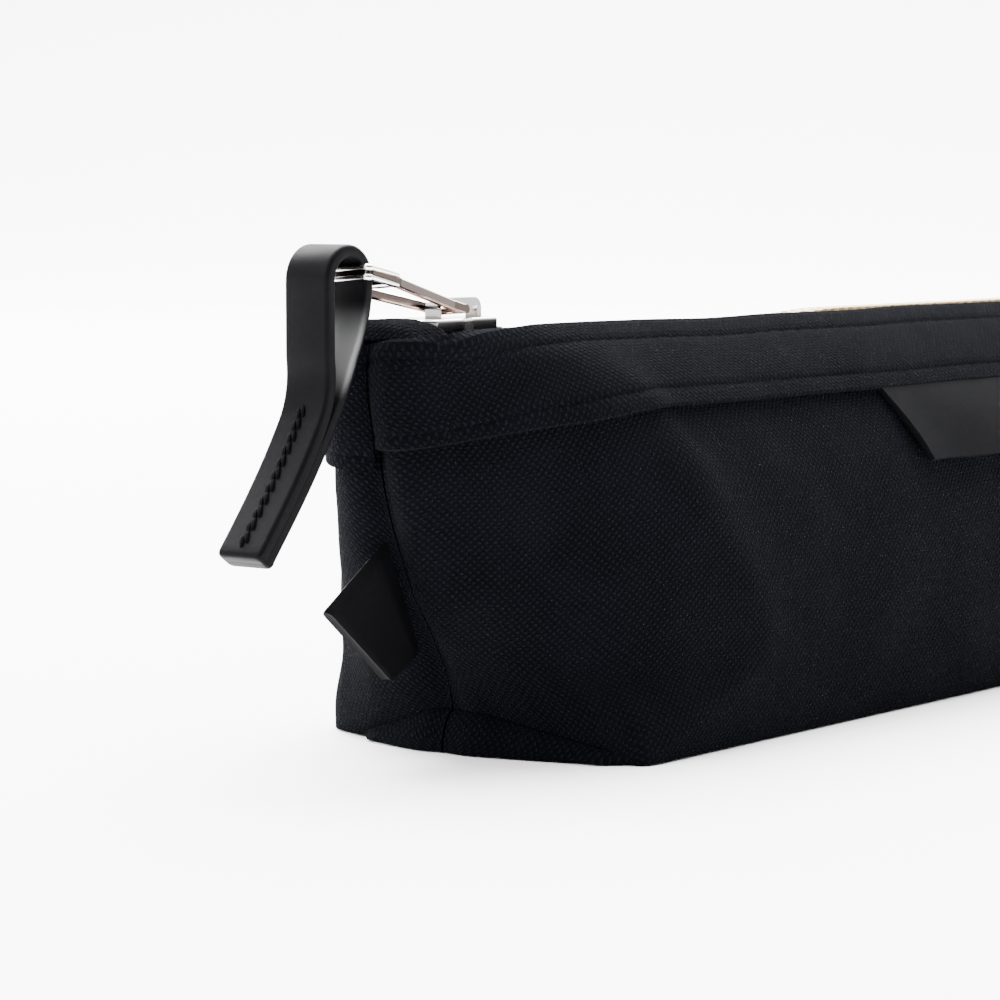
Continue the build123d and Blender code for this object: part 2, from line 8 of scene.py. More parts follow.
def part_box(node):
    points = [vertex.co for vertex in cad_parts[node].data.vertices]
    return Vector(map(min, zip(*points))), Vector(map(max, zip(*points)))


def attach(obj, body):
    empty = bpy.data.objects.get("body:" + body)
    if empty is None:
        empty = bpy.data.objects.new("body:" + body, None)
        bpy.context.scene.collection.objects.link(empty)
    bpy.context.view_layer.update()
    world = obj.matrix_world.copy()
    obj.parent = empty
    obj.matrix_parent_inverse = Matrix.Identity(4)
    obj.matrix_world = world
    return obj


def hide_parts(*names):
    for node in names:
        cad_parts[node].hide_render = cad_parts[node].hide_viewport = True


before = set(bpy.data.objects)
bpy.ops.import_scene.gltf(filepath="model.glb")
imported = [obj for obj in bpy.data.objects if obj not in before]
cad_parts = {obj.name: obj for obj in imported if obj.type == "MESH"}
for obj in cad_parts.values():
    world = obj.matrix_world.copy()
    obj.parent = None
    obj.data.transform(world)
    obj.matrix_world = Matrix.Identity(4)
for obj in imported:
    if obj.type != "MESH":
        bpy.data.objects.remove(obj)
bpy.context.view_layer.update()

MM = 0.001

# ---------------------------------------------------------------- sizes taken from the frame
panel_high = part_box("front_panel")[1]
band_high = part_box("front_band")[1]
tape_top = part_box("zip_tape_front")[1][2]
strap_low, strap_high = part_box("pull_strap")
label_low, label_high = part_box("label_patch")

HEIGHT = panel_high[2]
BAND_OUT = band_high[0] - panel_high[0]    # how far the band's face stands off the canvas

# ---------------------------------------------------------------- shape of the pouch
BASE_WIDTH = 34.5 * MM
BELLY_WIDTH = 36.0 * MM
BELLY_LEVEL = 0.25
MOUTH_WIDTH = 12.5 * MM
SEAM_LIFT = 6.6                   # the boxed ends rise off the table at the seam
BAND_DROP_MIDDLE = 14.3 * MM
BAND_DROP_END = 18.6 * MM
CANVAS = 1.2 * MM
LINING = 0.5 * MM
LINING_INSET = 1.6 * MM
BAND_CLOTH = 1.25 * MM
TAPE_CLOTH = 0.6 * MM
SEAM_GAP = 0.15 * MM              # half the line between the front and back panels
SPAN = 5.0                        # stations run from 0 at the left seam to this at the right seam

# topstitching of the bands
ROLL = ((-2.6, 3.2), (-2.2, 1.7), (-1.5, 0.7), (-0.6, 0.1))    # rolled top: inward, below the edge
UPPER_ROW = 4.4 * MM              # from the band's top edge, along the cloth
LOWER_ROW = 3.5 * MM              # from its lower edge
ROW_DIP = 0.5 * MM
ROW_WIDTH = 0.75 * MM
SLOPE = 1.35                      # length along the cloth for each millimetre of height
STITCH_PITCH = 3.2 * MM
STITCH_LENGTH = 2.45 * MM
STITCH_RADIUS = 0.33 * MM

# zip
ZIP_SAG = 2.0 * MM
TAPE_INNER_EDGE = 1.55 * MM

# Plan of a left-hand end at rising heights, in millimetres: height, seam, then three points round
# the corner as (inward from the mouth's end line, out from the middle).
END_LINE = 140.0
FRONT_END = (
    (0.0, 21.0, (24.6, 17.0), (28.8, 34.0), (30.0, 34.5)),
    (6.0, 18.4, (22.0, 16.0), (29.6, 33.0), (38.0, 35.0)),
    (14.0, 13.4, (17.2, 13.5), (33.0, 29.6), (58.0, 35.8)),
    (24.0, 7.0, (10.4, 11.5), (32.0, 29.4), (57.0, 36.0)),
    (42.0, 0.4, (2.8, 8.5), (24.5, 25.0), (43.0, 34.0)),
    (56.0, -1.4, (0.6, 8.0), (17.0, 20.5), (33.5, 28.3)),
    (66.0, -1.2, (0.8, 8.5), (11.0, 14.8), (24.0, 18.9)),
    (72.0, 0.4, (1.0, 7.0), (4.0, 12.2), (16.0, 13.0)),
)
BACK_END = (
    (0.0, 21.0, (22.8, 13.0), (28.6, 32.0), (38.0, 34.5)),
    (6.0, 18.4, (18.6, 13.0), (27.2, 30.6), (38.0, 35.0)),
    (14.0, 13.4, (16.0, 13.0), (27.5, 29.5), (44.0, 35.8)),
    (24.0, 7.0, (10.0, 13.0), (25.5, 27.5), (46.0, 36.0)),
    (42.0, 0.4, (4.4, 10.0), (21.5, 23.0), (40.0, 34.0)),
    (56.0, -1.4, (2.4, 9.0), (17.0, 19.5), (34.0, 28.3)),
    (66.0, -1.2, (1.2, 9.5), (10.0, 15.0), (24.0, 18.9)),
    (72.0, 0.4, (1.0, 8.0), (4.0, 12.4), (16.0, 13.0)),
)


def mix(low, high, share):
    return low + (high - low) * share


def smooth(low, high, value):
    share = min(1.0, max(0.0, (value - low) / (high - low)))
    return share * share * (3 - 2 * share)


def bell(value, width):
    return math.exp(-((value / width) ** 2))


def curve(a, b, c, d, share):
    back = 1 - share
    return a * back**3 + 3 * b * back**2 * share + 3 * c * back * share**2 + d * share**3


def half_width(level):
    if level <= BELLY_LEVEL:
        return mix(BASE_WIDTH, BELLY_WIDTH, math.sin(math.pi / 2 * max(level, 0) / BELLY_LEVEL))
    return mix(BELLY_WIDTH, MOUTH_WIDTH, ((level - BELLY_LEVEL) / (1 - BELLY_LEVEL)) ** 3)


def blend_rows(rows, height):
    """Values of a table at a height, eased between its rows."""
    index = 0
    while index < len(rows) - 2 and height > rows[index + 1][0]:
        index += 1

    def flat(row):
        values = [row[1]]
        for pair in row[2:]:
            values.extend(pair)
        return values

    before = flat(rows[max(0, index - 1)])
    low = flat(rows[index])
    high = flat(rows[index + 1])
    after = flat(rows[min(len(rows) - 1, index + 2)])
    share = (height - rows[index][0]) / (rows[index + 1][0] - rows[index][0])
    result = []
    for a, b, c, d in zip(before, low, high, after):
        pull = (c - a) / 2
        push = (d - b) / 2
        square = share * share
        cube = square * share
        result.append(
            (2 * cube - 3 * square + 1) * b + (cube - 2 * square + share) * pull
            + (3 * square - 2 * cube) * c + (cube - square) * push
        )
    return result


def soften(points, rounds):
    """Cut the corners of an open line, keeping its two ends."""
    for _ in range(rounds):
        cut = [points[0]]
        for (ax, ay), (bx, by) in zip(points, points[1:]):
            cut.append((ax * 0.75 + bx * 0.25, ay * 0.75 + by * 0.25))
            cut.append((ax * 0.25 + bx * 0.75, ay * 0.25 + by * 0.75))
        cut.append(points[-1])
        points = cut
    return points


outlines = {}


def outline(height, side):
    """Half plan from the left seam to the right seam, with its running length."""
    key = (round(height * 1e5), side)
    if key in outlines:
        return outlines[key]
    rows = FRONT_END if side < 0 else BACK_END
    seam, ax, ay, bx, by, cx, cy = blend_rows(rows, min(HEIGHT, max(0.0, height)) / MM)
    width = half_width(height / HEIGHT) / MM
    near = mix(0.06 if side < 0 else 0.5, 0.42, smooth(0.0, 16 * MM, height))
    before = (mix(bx, ax, near), mix(by, ay, near))
    after = (cx + 14 * near, width)
    left = [(seam, 0.0), (ax, ay), before, (bx, by), (cx, min(cy, width)), after, (cx + 14, width)]
    left = soften(left, 4)
    points = [((inward - END_LINE) * MM, out * MM) for inward, out in left]
    points += [(-x, y) for x, y in reversed(points)]
    lengths = [0.0]
    for (px, py), (qx, qy) in zip(points, points[1:]):
        lengths.append(lengths[-1] + math.hypot(qx - px, qy - py))
    outlines[key] = (points, lengths)
    return outlines[key]


def plan_point(around, height, side):
    """Point of the half plan; around runs 0 to 5 from the left seam to the right seam."""
    points, lengths = outline(height, side)
    target = around / SPAN * lengths[-1]
    low, high = 0, len(lengths) - 1
    while high - low > 1:
        middle = (low + high) // 2
        if lengths[middle] > target:
            high = middle
        else:
            low = middle
    share = (target - lengths[low]) / max(1e-9, lengths[high] - lengths[low])
    (ax, ay), (bx, by) = points[low], points[high]
    return mix(ax, bx, share), mix(ay, by, share)


def seam_rise(y, side):
    """Height of the boxed seam above the table."""
    out = abs(y) / MM
    if side < 0:
        return SEAM_LIFT * max(0.0, min(1.0, 1 - (out - 7) / 27.4)) ** 0.98 * MM
    return SEAM_LIFT * max(0.0, min(1.0, 1 - (out - 4) / 21.0)) ** 1.4 * MM


def wall_point(around, height, side):
    """Outer face of the canvas wall, with the lie of the cloth."""
    x, y = plan_point(around, max(0.0, height), side)
    level = height / HEIGHT
    end_side = 1.0 if x > 0 else -1.0
    valley = mix(2.4 * MM, 4.6 * MM, smooth(1.0, 0.72, level)) * smooth(-0.15, 0.25, level)
    x -= end_side * valley * bell(y, 3.3 * MM)
    seed = Vector((x * 21, side * 3.1 + y * 9, height * 27))
    slow = noise.noise(seed)
    quick = noise.noise(seed * 2.6 + Vector((5.0, 1.0, 2.0)))
    free = smooth(0.0, 0.15, level) * smooth(1.05, 0.82, level) * smooth(1.0 * MM, 14 * MM, y)
    y += (slow * 1.6 + quick * 0.7) * MM * free
    crest = bell(abs(x) - 78 * MM - 0.61 * (height - 22 * MM), 5.5 * MM)
    crest *= smooth(0.1, 0.4, level) * smooth(0.97, 0.8, level)
    y += mix(0.45 * MM, 1.35 * MM, smooth(0.45, 0.7, level)) * crest
    floor_y = plan_point(around, 0.0, side)[1]
    near_end = smooth(108 * MM, 111 * MM, abs(plan_point(around, 0.0, side)[0]))
    lift = seam_rise(floor_y, side) * near_end
    z = lift + height * (HEIGHT - lift) / HEIGHT
    return Vector((x, side * (y + SEAM_GAP), z))


def wall(around, height, side, out=0.0):
    """Wall point moved out along the surface's own normal."""
    point = wall_point(around, height, side)
    if not out:
        return point
    step_a = 0.02
    step_h = 0.6 * MM
    ahead = wall_point(min(SPAN, around + step_a), height, side)
    behind = wall_point(max(0.0, around - step_a), height, side)
    above = wall_point(around, min(HEIGHT + step_h, height + step_h), side)
    below = wall_point(around, max(0.0, height - step_h), side)
    normal = (ahead - behind).cross(above - below) * (-side)
    return point + normal.normalized() * out


def mouth_height(around, side):
    """Top edge of the pouch: it dips at the two seams."""
    near_seam = min(around, SPAN - around)
    dip = 1.6 * MM * smooth(0.24, 0.0, near_seam)
    wave = 0.35 * MM * noise.noise(Vector((around * 2.3, side * 4.0, 0.5)))
    lift = 0.55 * MM * bell(around - 0.5, 0.35)
    if side > 0:
        lift = mix(-2.9 * MM, 1.0 * MM, smooth(0.75, 0.35, around))
        lift = lift * smooth(0.0, 0.15, around)
    return HEIGHT - 1.35 * MM - dip + wave + lift


def band_foot(around, side):
    """Lower edge of the band."""
    near_seam = min(around, SPAN - around)
    end_drop = BAND_DROP_END if side < 0 else BAND_DROP_END + 4.0 * MM
    drop = mix(end_drop, BAND_DROP_MIDDLE, smooth(0.0, 0.9, near_seam))
    return HEIGHT - 2.2 * MM * smooth(0.5, 0.0, near_seam) - drop


# ---------------------------------------------------------------- mesh helpers
def finish_mesh(piece, smooth_angle=40):
    """Soft shading on a new mesh, with its sharp edges kept."""
    bpy.ops.object.select_all(action="DESELECT")
    piece.select_set(True)
    bpy.context.view_layer.objects.active = piece
    bpy.ops.object.shade_smooth_by_angle(angle=math.radians(smooth_angle))
    return piece


def new_piece(name, points, faces, uvs=None):
    """Object from points and faces, with normals made to point outwards."""
    mesh = bpy.data.meshes.new(name)
    mesh.from_pydata([tuple(point) for point in points], [], faces)
    if uvs is not None:
        layer = mesh.uv_layers.new(name="cloth")
        for loop in mesh.loops:
            layer.data[loop.index].uv = uvs[loop.vertex_index]
    work = bmesh.new()
    work.from_mesh(mesh)
    bmesh.ops.recalc_face_normals(work, faces=work.faces)
    work.to_mesh(mesh)
    work.free()
    piece = bpy.data.objects.new(name, mesh)
    bpy.context.scene.collection.objects.link(piece)
    return finish_mesh(piece)


def grid_normals(grid):
    rows = len(grid)
    columns = len(grid[0])
    normals = []
    for r in range(rows):
        line = []
        for c in range(columns):
            right = grid[r][min(columns - 1, c + 1)] - grid[r][max(0, c - 1)]
            up = grid[min(rows - 1, r + 1)][c] - grid[max(0, r - 1)][c]
            line.append(right.cross(up).normalized())
        normals.append(line)
    return normals


def thick_sheet(name, grid, thickness, uv_grid, edge_round=0.35):
    """Closed sheet: the grid is its outer face and the inner face lies thickness behind it.

    Nothing goes below the table, and the inner face stays a little above it."""
    rows = len(grid)
    columns = len(grid[0])
    normals = grid_normals(grid)
    points = []
    uvs = []
    for layer in (0, 1):
        for r in range(rows):
            for c in range(columns):
                point = grid[r][c] - normals[r][c] * (thickness * layer)
                point.z = max(point.z, layer * 0.3 * MM)
                points.append(point)
                uvs.append(uv_grid[r][c])
    count = rows * columns
    faces = []
    for r in range(rows - 1):
        for c in range(columns - 1):
            a = r * columns + c
            quad = (a, a + 1, a + columns + 1, a + columns)
            faces.append(quad)
            faces.append(tuple(index + count for index in reversed(quad)))
    border = [(0, c) for c in range(columns)]
    border += [(r, columns - 1) for r in range(1, rows)]
    border += [(rows - 1, c) for c in range(columns - 2, -1, -1)]
    border += [(r, 0) for r in range(rows - 2, 0, -1)]
    rim = []
    for r, c in border:
        inward_r = 1 if r == 0 else (-1 if r == rows - 1 else 0)
        inward_c = 1 if c == 0 else (-1 if c == columns - 1 else 0)
        away = grid[r][c] - grid[r + inward_r][c + inward_c]
        middle = grid[r][c] - normals[r][c] * (thickness / 2)
        rim.append(len(points))
        fold = middle + away.normalized() * thickness * edge_round
        fold.z = max(fold.z, 0.0)
        points.append(fold)
        uvs.append(uv_grid[r][c])
    for index, (r, c) in enumerate(border):
        follow = (index + 1) % len(border)
        nr, nc = border[follow]
        a = r * columns + c
        b = nr * columns + nc
        faces.append((a, rim[index], rim[follow], b))
        faces.append((rim[index], a + count, b + count, rim[follow]))
    return new_piece(name, points, faces, uvs)


def columns_around():
    """Stations round a half plan, closer together at the two ends."""
    end = 0.9
    close, wide = 70, 110
    stations = [step * end / close for step in range(close)]
    stations += [end + step * (SPAN - 2 * end) / wide for step in range(wide)]
    stations += [SPAN - end + step * end / close for step in range(close + 1)]
    return stations


def running_lengths(points):
    lengths = [0.0]
    for before, after in zip(points, points[1:]):
        lengths.append(lengths[-1] + (after - before).length)
    return lengths


STATIONS = columns_around()
PIVOT = Vector((-119.0 * MM, 0.0, 75.0 * MM))     # where the pull turns in the bridge
PULL_LENGTH = 29.5 * MM
PULL_TILT = math.radians(12.5)
PULL_ROLL = math.radians(-5.0)


# ---------------------------------------------------------------- shader helper
class Signal:
    """A number in a node tree that can be used in arithmetic."""

    def __init__(self, finish, socket):
        self.finish = finish
        self.socket = socket

    def _math(self, operation, *values):
        return self.finish.number("ShaderNodeMath", {"operation": operation}, *values)

    def __add__(self, other):
        return self._math("ADD", self, other)

    def __radd__(self, other):
        return self._math("ADD", other, self)

    def __sub__(self, other):
        return self._math("SUBTRACT", self, other)

    def __rsub__(self, other):
        return self._math("SUBTRACT", other, self)

    def __mul__(self, other):
        return self._math("MULTIPLY", self, other)

    def __rmul__(self, other):
        return self._math("MULTIPLY", other, self)

    def __truediv__(self, other):
        return self._math("DIVIDE", self, other)

    def __pow__(self, other):
        return self._math("POWER", self, other)

    def __abs__(self):
        return self._math("ABSOLUTE", self)

    def sine(self):
        return self._math("SINE", self)

    def clamp(self):
        return self.finish.number("ShaderNodeClamp", {}, self)


class Finish:
    """One material and its node tree."""

    def __init__(self, name, colour, roughness, **constants):
        self.material = bpy.data.materials.new(name)
        self.material.use_nodes = True
        self.tree = self.material.node_tree
        self.tree.nodes.clear()
        self.output = self.tree.nodes.new("ShaderNodeOutputMaterial")
        self.shader = self.tree.nodes.new("ShaderNodeBsdfPrincipled")
        self.tree.links.new(self.shader.outputs[0], self.output.inputs[0])
        self.shader.inputs["Base Color"].default_value = (*colour, 1)
        self.shader.inputs["Roughness"].default_value = roughness
        for socket, value in constants.items():
            self.shader.inputs[socket.replace("_", " ")].default_value = value

    def node(self, kind, settings, inputs):
        """Any node: its settings first, then values or links for its sockets by name or number."""
        made = self.tree.nodes.new(kind)
        for key, value in settings.items():
            if key == "stops":
                ramp = made.color_ramp
                while len(ramp.elements) < len(value):
                    ramp.elements.new(0.5)
                for element, (place, tone) in zip(ramp.elements, value):
                    element.position = place
                    element.color = (*tone, 1)
            else:
                setattr(made, key, value)
        for key, value in inputs.items():
            if isinstance(value, Signal):
                self.tree.links.new(value.socket, made.inputs[key])
            elif isinstance(value, bpy.types.NodeSocket):
                self.tree.links.new(value, made.inputs[key])
            else:
                made.inputs[key].default_value = value
        return made

    def number(self, kind, settings, *values):
        made = self.node(kind, settings, dict(enumerate(values)))
        return Signal(self, made.outputs[0])

    def object_place(self):
        return self.node("ShaderNodeTexCoord", {}, {}).outputs["Object"]

    def cloth_place(self):
        return self.node("ShaderNodeUVMap", {"uv_map": "cloth"}, {}).outputs[0]

    def noise(self, place, scale, detail=3.0, roughness=0.5):
        inputs = {"Vector": place, "Scale": scale, "Detail": detail, "Roughness": roughness}
        return Signal(self, self.node("ShaderNodeTexNoise", {}, inputs).outputs[0])

    def axes(self, place):
        parts = self.node("ShaderNodeSeparateXYZ", {}, {0: place})
        return [Signal(self, socket) for socket in parts.outputs]

    def colour(self, low, high, share):
        settings = {"data_type": "RGBA"}
        inputs = {0: share, 6: (*low, 1), 7: (*high, 1)}
        self.use("Base Color", self.node("ShaderNodeMix", settings, inputs).outputs[2])

    def use(self, socket, source):
        link = source.socket if isinstance(source, Signal) else source
        self.tree.links.new(link, self.shader.inputs[socket])

    def bump(self, height, distance, strength=1.0):
        inputs = {"Height": height, "Distance": distance, "Strength": strength}
        self.use("Normal", self.node("ShaderNodeBump", {}, inputs).outputs[0])


def woven(name, dark, light, pitch_across, pitch_up, depth, irregular=0.12, fuzz=0.25, sheen=0.004):
    """Plain weave on the cloth's own map: threads pass over and under each other."""
    cloth = Finish(name, light, 0.95, Sheen_Weight=sheen, Sheen_Roughness=0.5, Specular_IOR_Level=0.012)
    place = cloth.cloth_place()
    across, up, _ = cloth.axes(place)
    drift = cloth.noise(place, 420.0, 2.0) - 0.5
    slub = cloth.noise(place, 90.0, 3.0)
    u = (across * (math.pi / pitch_across) + drift * (irregular * 6)).sine()
    v = (up * (math.pi / pitch_up) + drift * (irregular * 8)).sine()
    over = u * v
    threads = (over * 0.72 + abs(u) * abs(v) * 0.28).clamp() ** 0.75
    hairs = cloth.noise(cloth.object_place(), 5200.0, 2.0, 0.7)
    height = threads + hairs * fuzz + slub * 0.25
    cloth.bump(height, depth)
    # Colour: lighter on the raised threads and darker in the gaps between them, a painted highlight and
    # shade, with slubs and stray hairs as tone of the yarn.
    cloth.colour(dark, light, (threads * 0.6 + slub * 0.45 + hairs * 0.2 - 0.1).clamp())
    return cloth.material


def grained_leather(name, dark, light, roughness, grain_scale, depth, rubbed=None):
    """Smooth-faced leather: fine grain and faint mottling, with a painted reflection in a pale colour on
    the faces that a mesh attribute marks, when that colour is given.
    """
    hide = Finish(name, light, roughness, Specular_IOR_Level=0.026)
    place = hide.object_place()
    grain = hide.noise(place, grain_scale, 4.0, 0.6)
    fine = hide.noise(place, grain_scale * 3.1, 2.0, 0.6)
    mottle = hide.noise(place, 120.0, 3.0)
    hide.bump(grain * 0.7 + fine * 0.5, depth)
    hide.colour(dark, light, mottle)
    # Painted reflection: a pale colour is mixed into the marked faces, standing in for the bright
    # surroundings they reflect.
    if rubbed:
        reflection_mask = hide.node("ShaderNodeAttribute", {"attribute_name": "rubbed"}, {}).outputs["Fac"]
        under = hide.shader.inputs["Base Color"].links[0].from_socket
        inputs = {0: reflection_mask, 6: under, 7: (*rubbed, 1)}
        hide.use("Base Color", hide.node("ShaderNodeMix", {"data_type": "RGBA"}, inputs).outputs[2])
    hide.use("Roughness", mottle * 0.12 + fine * 0.08 + (roughness - 0.1))
    return hide.material


def plated(name, colour, roughness, speck, painted_reflection_tones=None):
    """Polished plating with faint handling marks in its roughness and bumps; where tones are given, its
    colour is a painted reflection set by which way the surface faces.
    """
    metal = Finish(name, colour, roughness, Metallic=1.0)
    place = metal.object_place()
    # Painted reflection: colour by how far the surface faces up or down, dark on upright faces and bright
    # on slanting ones.
    if painted_reflection_tones:
        facing = metal.node("ShaderNodeTexCoord", {}, {}).outputs["Normal"]
        upward = abs(metal.axes(facing)[2])
        metal.use("Base Color", metal.node("ShaderNodeValToRGB", {"stops": painted_reflection_tones}, {0: upward}).outputs[0])
    cloudy = metal.noise(place, 260.0, 3.0)
    metal.use("Roughness", cloudy * speck + (roughness - speck / 2))
    metal.bump(metal.noise(place, 900.0, 2.0), 0.00001, 0.3)
    return metal.material


canvas = woven(
    "black canvas", (0.0004, 0.0005, 0.0009), (0.0044, 0.0048, 0.0073),
    0.66 * MM, 0.64 * MM, 0.55 * MM, 0.3, 0.45,
)
lining_cloth = woven(
    "grey cotton lining", (0.012, 0.012, 0.014), (0.04, 0.04, 0.044),
    0.4 * MM, 0.4 * MM, 0.12 * MM,
)
tape_cloth = woven(
    "black zip tape", (0.003, 0.003, 0.004), (0.014, 0.014, 0.017),
    0.5 * MM, 0.7 * MM, 0.2 * MM,
)
# The last colour is a painted reflection: pale grey on the inside of the loop's back layer.
strap_hide = grained_leather(
    "black strap leather", (0.0009, 0.0009, 0.0012), (0.0022, 0.0022, 0.0028),
    0.42, 2600.0, 0.05 * MM, (0.12, 0.12, 0.122),
)
label_hide = grained_leather(
    "black label leather", (0.0005, 0.0005, 0.0008), (0.0013, 0.0014, 0.002),
    0.66, 2200.0, 0.06 * MM,
)
tab_hide = grained_leather(
    "black tab leather", (0.0007, 0.0007, 0.001), (0.0018, 0.0018, 0.0023),
    0.66, 2600.0, 0.05 * MM,
)
waxed_thread = grained_leather(
    "black waxed thread", (0.0001, 0.0001, 0.0002), (0.0005, 0.0005, 0.0007),
    0.7, 4000.0, 0.05 * MM,
)
sewing_thread = grained_leather(
    "black sewing thread", (0.0012, 0.0012, 0.0016), (0.005, 0.0052, 0.0065),
    0.5, 4000.0, 0.04 * MM,
)
# Painted reflection on the slider: colour stops by how far the surface faces up or down, from upright (0)
# to flat (1): dark upright faces, bright slants, a dull warm tone on flat faces.
NICKEL_PAINTED_REFLECTION = (
    (0.0, (0.2, 0.195, 0.19)),
    (0.3, (0.06, 0.06, 0.06)),
    (0.5, (0.95, 0.93, 0.9)),
    (0.85, (0.95, 0.93, 0.9)),
    (0.97, (0.36, 0.25, 0.21)),
)
nickel = plated("polished nickel", (0.83, 0.81, 0.78), 0.13, 0.08, NICKEL_PAINTED_REFLECTION)
# Painted reflection on the pull: the same stops, with darker and browner upright faces.
PULL_PAINTED_REFLECTION = (
    (0.0, (0.1, 0.075, 0.065)),
    (0.3, (0.04, 0.035, 0.033)),
    (0.5, (0.93, 0.9, 0.86)),
    (0.85, (0.95, 0.93, 0.9)),
    (0.97, (0.36, 0.25, 0.21)),
)
nickel_pull = plated("worn nickel", (0.8, 0.77, 0.73), 0.16, 0.08, PULL_PAINTED_REFLECTION)
nickel_rail = plated("bright nickel edge", (0.85, 0.83, 0.8), 0.16, 0.08)
brass = plated("brass teeth", (0.78, 0.62, 0.36), 0.28, 0.12)


def dress(piece, material, body, slot, *nodes):
    """Give a new piece its finish and tie it to the frame."""
    piece.data.materials.clear()
    piece.data.materials.append(material)
    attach(piece, body)
    if nodes:
        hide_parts(*nodes)
    return piece


def refinish(node, material):
    """New material on a CAD node that stays."""
    kept = bpy.data.objects[node]
    kept.data.materials.clear()
    kept.data.materials.append(material)


# ---------------------------------------------------------------- canvas panels and lining
def panel_grid(side, inset):
    """Wall from the mouth down to the base edge, then the half of the bottom to its middle seam."""
    steps = 64
    under_steps = 24
    tuck_length = 26 * MM
    tops = [mouth_height(around, side) - 0.9 * MM for around in STATIONS]
    grid = []
    for step in range(steps + 1):
        left = 1 - step / steps
        grid.append([wall(around, top * left, side, -inset) for around, top in zip(STATIONS, tops)])
    edge = grid[-1]
    for step in range(1, under_steps + 1):
        share = step / under_steps
        line = []
        for point in edge:
            end_side = 1.0 if point.x > 0 else -1.0
            reach = abs(point.x)
            near_end = smooth(104 * MM, 112 * MM, reach)
            tuck = tuck_length * smooth(0.15, 1.0, share) * near_end
            swell = 2.9 * MM * math.sin(math.pi * min(1.0, share / 0.3))
            swell *= near_end * smooth(0.0, 2 * MM, point.z)
            inward = max(0.0, share - 0.12) / 0.88
            x = end_side * (reach - tuck + swell)
            y = mix(point.y, side * SEAM_GAP, inward)
            z = mix(point.z, inset, smooth(0.0, 0.2, share))
            line.append(Vector((x, y, max(z, inset))))
        grid.append(line)
    return grid


def cloth_map(grid):
    """Flat map of a sheet: threads stay straight and run out at its cut ends."""
    middle = len(grid[0]) // 2
    down = [running_lengths(column) for column in zip(*grid)]
    marks = []
    for r, line in enumerate(grid):
        across = running_lengths(line)
        marks.append([(length - across[middle], -down[c][r]) for c, length in enumerate(across)])
    return marks


for side, name in ((-1, "front"), (1, "back")):
    grid = panel_grid(side, 0.0)
    panel = thick_sheet(f"{name}_panel_canvas", grid, -side * CANVAS, cloth_map(grid))
    dress(panel, canvas, "pouch", "canvas", f"{name}_panel")
    inner = panel_grid(side, LINING_INSET)
    lining = thick_sheet(f"{name}_lining_cloth", inner[4:], -side * LINING, cloth_map(inner)[4:])
    dress(lining, lining_cloth, "pouch", "lining_cloth", f"{name}_lining")


# ---------------------------------------------------------------- bands with their topstitching
def band_point(around, share, side, out):
    top = mouth_height(around, side)
    foot = band_foot(around, side)
    return wall(around, mix(top, foot, share), side, out)


def stitch_dip(share, around, side):
    """Cloth pulled down along the two rows of stitches."""
    length = (HEIGHT - band_foot(around, side)) * SLOPE
    upper = abs(share * length - UPPER_ROW)
    lower = abs((1 - share) * length - LOWER_ROW)
    pucker = 0.75 + 0.25 * math.sin(around * 140)
    return (bell(upper, ROW_WIDTH) + bell(lower, ROW_WIDTH)) * ROW_DIP * pucker


def band_grid(side):
    """Outer face of a band, from the edge rolled into the mouth down to its lower edge."""
    rows = 52
    grid = []
    for out_shift, drop in ROLL:
        line = []
        for around in STATIONS:
            top = mouth_height(around, side) - drop * MM
            line.append(wall(around, top, side, BAND_OUT + out_shift * MM))
        grid.append(line)
    for row in range(rows + 1):
        share = mix(0.035, 1.0, row / rows)
        line = []
        for around in STATIONS:
            swell = 0.25 * MM * math.sin(math.pi * share)
            out = BAND_OUT + swell - stitch_dip(share, around, side)
            line.append(band_point(around, share, side, out))
        grid.append(line)
    return grid


def capsule(start, end, radius, sag, normal, points, faces, ring=6, rings=5):
    """A short stitch: a tube that dives in at both ends."""
    along = (end - start).normalized()
    across = along.cross(normal).normalized()
    first = len(points)
    for step in range(rings):
        share = step / (rings - 1)
        centre = start.lerp(end, share) - normal * sag * (2 * share - 1) ** 4
        size = radius * (1 - 0.45 * abs(2 * share - 1) ** 3)
        for corner in range(ring):
            angle = 2 * math.pi * corner / ring
            points.append(centre + (across * math.cos(angle) + normal * math.sin(angle)) * size)
    for step in range(rings - 1):
        for corner in range(ring):
            a = first + step * ring + corner
            b = first + step * ring + (corner + 1) % ring
            faces.append((a, b, b + ring, a + ring))
    faces.append(tuple(first + corner for corner in range(ring)))
    faces.append(tuple(first + (rings - 1) * ring + corner for corner in reversed(range(ring))))


def place_on_row(places, outs, lengths, distance):
    """Point and outward direction at a distance along a row of stitching."""
    index = 0
    while index < len(lengths) - 2 and lengths[index + 1] < distance:
        index += 1
    part = (distance - lengths[index]) / (lengths[index + 1] - lengths[index])
    place = places[index].lerp(places[index + 1], part)
    out = outs[index].lerp(outs[index + 1], part)
    return place, (out - place).normalized()


